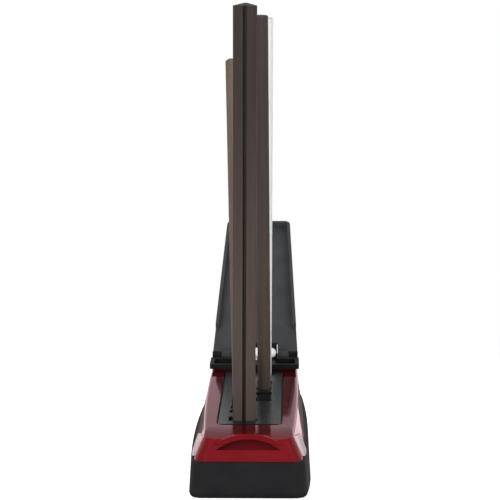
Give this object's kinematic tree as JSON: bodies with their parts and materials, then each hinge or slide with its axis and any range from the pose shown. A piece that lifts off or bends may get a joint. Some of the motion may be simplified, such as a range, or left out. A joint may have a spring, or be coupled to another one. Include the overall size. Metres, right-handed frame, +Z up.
{
  "type": "manual knife sharpener",
  "caption": "Manual knife sharpener with a sloping red and black base, slanted sockets, standing sharpening rods and a hinged rear cover behind a white lock button.",
  "frame": {"origin": "middle of the flat underside of the base", "axes": "+Z up, -Y towards the narrow front end with the finger notch, +Y towards the hinge of the cover, +X to the right seen from the front"},
  "size_m": [0.0704, 0.3299, 0.2768],
  "materials": {
    "rod_dark": "satin",
    "rod_medium": "matte",
    "rod_white": "satin",
    "base_black": "matte",
    "red_gloss": "gloss",
    "deck_black": "satin",
    "socket_black": "matte",
    "hinge_black": "matte",
    "steel": "satin",
    "cover_grey": "matte",
    "button_white": "gloss",
    "grip_rubber": "matte",
    "foot_rubber": "matte"
  },
  "bodies": {
    "base": {"lower_shell": "base_black", "red_housing": "red_gloss", "socket_plate": "deck_black", "socket_block": "socket_black", "hinge_bar": "hinge_black", "hinge_pin": "steel", "button_spring": "steel", "grip_left": "grip_rubber", "grip_right": "grip_rubber", "foot_pad_front_left": "foot_rubber", "foot_pad_front_right": "foot_rubber", "foot_pad_rear_left": "foot_rubber", "foot_pad_rear_right": "foot_rubber", "case_screws": "steel", "block_screws": "steel", "bar_screws": "steel"},
    "cover_lid": {"cover": "cover_grey"},
    "button": {"lock_button": "button_white"},
    "triangle_stick": {"triangular_rod": "rod_dark"},
    "rear_stick": {"round_rod_rear": "rod_medium"},
    "front_stick": {"round_rod_front": "rod_dark"},
    "white_stick": {"white_rod": "rod_white"}
  },
  "joints": [
    {"name": "cover_hinge", "type": "hinge", "parent": "base", "child": "cover_lid", "pos_m": [0, 0.07812, 0.07329], "axis": [1, 0, 0], "range_deg": [0, 61]},
    {"name": "button_press", "type": "slide", "parent": "base", "child": "button", "axis": [0, 0.2079, -0.9781], "range_m": [0, 0.0018], "stiffness_N_per_m": 300, "springref_m": -0.001, "deforming": ["button_spring"]},
    {"name": "triangular_rod_pull", "type": "slide", "parent": "base", "child": "triangle_stick", "axis": [0.0125, -0.342, 0.9396], "range_m": [0, 0.03]},
    {"name": "rear_rod_pull", "type": "slide", "parent": "base", "child": "rear_stick", "axis": [-0.0344, 0.342, 0.9391], "range_m": [0, 0.03]},
    {"name": "front_rod_pull", "type": "slide", "parent": "base", "child": "front_stick", "axis": [-0.0016, -0.342, 0.9397], "range_m": [0, 0.03]},
    {"name": "white_rod_pull", "type": "slide", "parent": "base", "child": "white_stick", "axis": [0.0098, -0.342, 0.9396], "range_m": [0, 0.03]}
  ]
}
